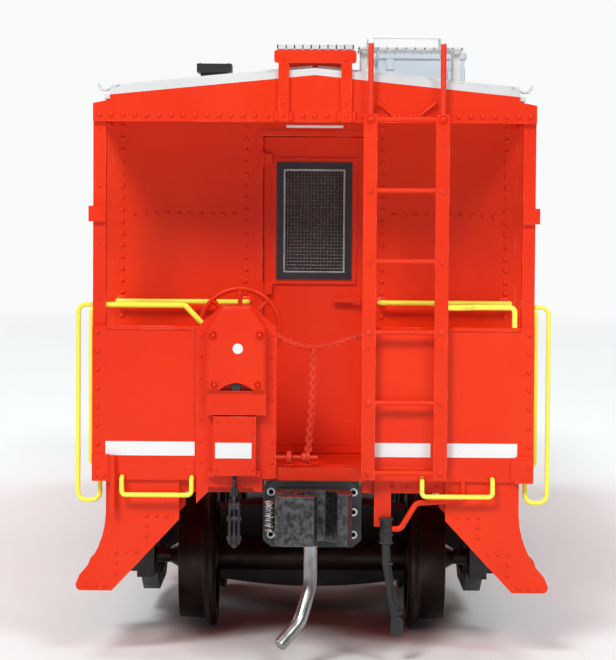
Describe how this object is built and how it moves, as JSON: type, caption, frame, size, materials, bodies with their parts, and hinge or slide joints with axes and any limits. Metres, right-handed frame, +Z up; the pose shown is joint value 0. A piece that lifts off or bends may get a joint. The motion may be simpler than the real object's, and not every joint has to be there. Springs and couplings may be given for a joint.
{
  "type": "model caboose",
  "caption": "HO scale bay-window caboose with open end platforms, brake stands, ladders, swivelling trucks and knuckle couplers.",
  "frame": {"origin": "middle of the car, at the level of the lowest point of the wheel flanges", "axes": "+Z up, +Y along the car; the end at -Y is the one with suffix a; +X is to the right of someone facing +Y"},
  "size_m": [0.0364, 0.1364, 0.046],
  "materials": {
    "red_paint": "satin orange-red enamel",
    "white_paint": "satin white enamel",
    "yellow_paint": "satin yellow enamel",
    "roof_grey": "satin light blue-grey",
    "black_paint": "satin black",
    "black_plastic": "matte black moulding",
    "blackened_steel": "blackened wheel metal with worn treads",
    "coupler_metal": "graphite sintered metal, edges worn bright",
    "bright_steel": "bright wire",
    "gasket_black": "black window gasket",
    "screen_grey": "fine etched mesh",
    "clear_glazing": "clear",
    "ballast_steel": "plain steel weight"
  },
  "bodies": {
    "body": {"floor_plate": "red_paint", "end_sills": "red_paint", "sill_gussets": "red_paint", "body_sides": "red_paint", "bay_boxes": "red_paint", "end_bulkheads": "red_paint", "doors": "red_paint", "door_casings": "red_paint", "door_handles": "red_paint", "end_headers": "red_paint", "side_headers": "red_paint", "corner_posts": "red_paint", "end_panels": "red_paint", "marker_brackets": "red_paint", "brake_stands": "red_paint", "brake_housings": "red_paint", "ladders": "red_paint", "ladder_hoops": "red_paint", "walk_supports": "red_paint", "step_stringers": "red_paint", "step_treads": "red_paint", "safety_chains": "red_paint", "train_pipes": "red_paint", "roof": "white_paint", "eave_gutters": "white_paint", "running_board": "white_paint", "lateral_platforms": "white_paint", "platform_rails": "yellow_paint", "grab_irons": "yellow_paint", "roof_box": "roof_grey", "smokestack": "black_paint", "brake_pendants": "black_paint", "air_hoses": "black_paint", "striker_plates": "black_paint", "draft_boxes": "black_paint", "draft_lids": "black_paint", "center_sill": "black_paint", "air_brake_gear": "black_paint", "tool_boxes": "black_paint", "underbody_screws": "bright_steel", "window_gaskets": "gasket_black", "door_screens": "screen_grey", "window_glazing": "clear_glazing", "ballast_weight": "ballast_steel"},
    "truck_a": {"truck_frame_a": "black_plastic", "side_frames_a": "black_plastic"},
    "truck_b": {"truck_frame_b": "black_plastic", "side_frames_b": "black_plastic"},
    "wheels_a_outer": {"wheelset_a_outer": "blackened_steel"},
    "wheels_a_inner": {"wheelset_a_inner": "blackened_steel"},
    "coupler_a": {"coupler_head_a": "coupler_metal", "trip_pin_and_spring_a": "bright_steel"},
    "knuckle_a": {"coupler_knuckle_a": "coupler_metal"},
    "handwheel_a": {"handwheel_a": "red_paint"},
    "wheels_b_outer": {"wheelset_b_outer": "blackened_steel"},
    "wheels_b_inner": {"wheelset_b_inner": "blackened_steel"},
    "coupler_b": {"coupler_head_b": "coupler_metal", "trip_pin_and_spring_b": "bright_steel"},
    "knuckle_b": {"coupler_knuckle_b": "coupler_metal"},
    "handwheel_b": {"handwheel_b": "red_paint"}
  },
  "joints": [
    {"name": "truck_a_swivel", "type": "hinge", "parent": "body", "child": "truck_a", "pos_m": [0, -0.0384, 0.00845], "axis": [0, 0, 1], "range_deg": [-6, 6]},
    {"name": "wheels_a_outer_spin", "type": "hinge", "parent": "truck_a", "child": "wheels_a_outer", "pos_m": [0, -0.048, 0.00544], "axis": [1, 0, 0], "continuous": true},
    {"name": "wheels_a_inner_spin", "type": "hinge", "parent": "truck_a", "child": "wheels_a_inner", "pos_m": [0, -0.0288, 0.00544], "axis": [1, 0, 0], "continuous": true},
    {"name": "coupler_a_swing", "type": "hinge", "parent": "body", "child": "coupler_a", "pos_m": [0, -0.0565, 0.01056], "axis": [0, 0, 1], "range_deg": [-8, 8], "stiffness_Nm_per_rad": 0.00002},
    {"name": "knuckle_a_open", "type": "hinge", "parent": "coupler_a", "child": "knuckle_a", "pos_m": [-0.00165, -0.06575, 0.01056], "axis": [0, 0, 1], "range_deg": [-35, 0], "stiffness_Nm_per_rad": 0.00002},
    {"name": "handwheel_a_spin", "type": "hinge", "parent": "body", "child": "handwheel_a", "pos_m": [-0.00522, -0.0606, 0.0234], "axis": [0, 1, 0], "continuous": true},
    {"name": "truck_b_swivel", "type": "hinge", "parent": "body", "child": "truck_b", "pos_m": [0, 0.0384, 0.00845], "axis": [0, 0, 1], "range_deg": [-6, 6]},
    {"name": "wheels_b_outer_spin", "type": "hinge", "parent": "truck_b", "child": "wheels_b_outer", "pos_m": [0, 0.048, 0.00544], "axis": [1, 0, 0], "continuous": true},
    {"name": "wheels_b_inner_spin", "type": "hinge", "parent": "truck_b", "child": "wheels_b_inner", "pos_m": [0, 0.0288, 0.00544], "axis": [1, 0, 0], "continuous": true},
    {"name": "coupler_b_swing", "type": "hinge", "parent": "body", "child": "coupler_b", "pos_m": [0, 0.0565, 0.01056], "axis": [0, 0, 1], "range_deg": [-8, 8], "stiffness_Nm_per_rad": 0.00002},
    {"name": "knuckle_b_open", "type": "hinge", "parent": "coupler_b", "child": "knuckle_b", "pos_m": [0.00165, 0.06575, 0.01056], "axis": [0, 0, 1], "range_deg": [-35, 0], "stiffness_Nm_per_rad": 0.00002},
    {"name": "handwheel_b_spin", "type": "hinge", "parent": "body", "child": "handwheel_b", "pos_m": [0.00522, 0.0606, 0.0234], "axis": [0, 1, 0], "continuous": true}
  ]
}
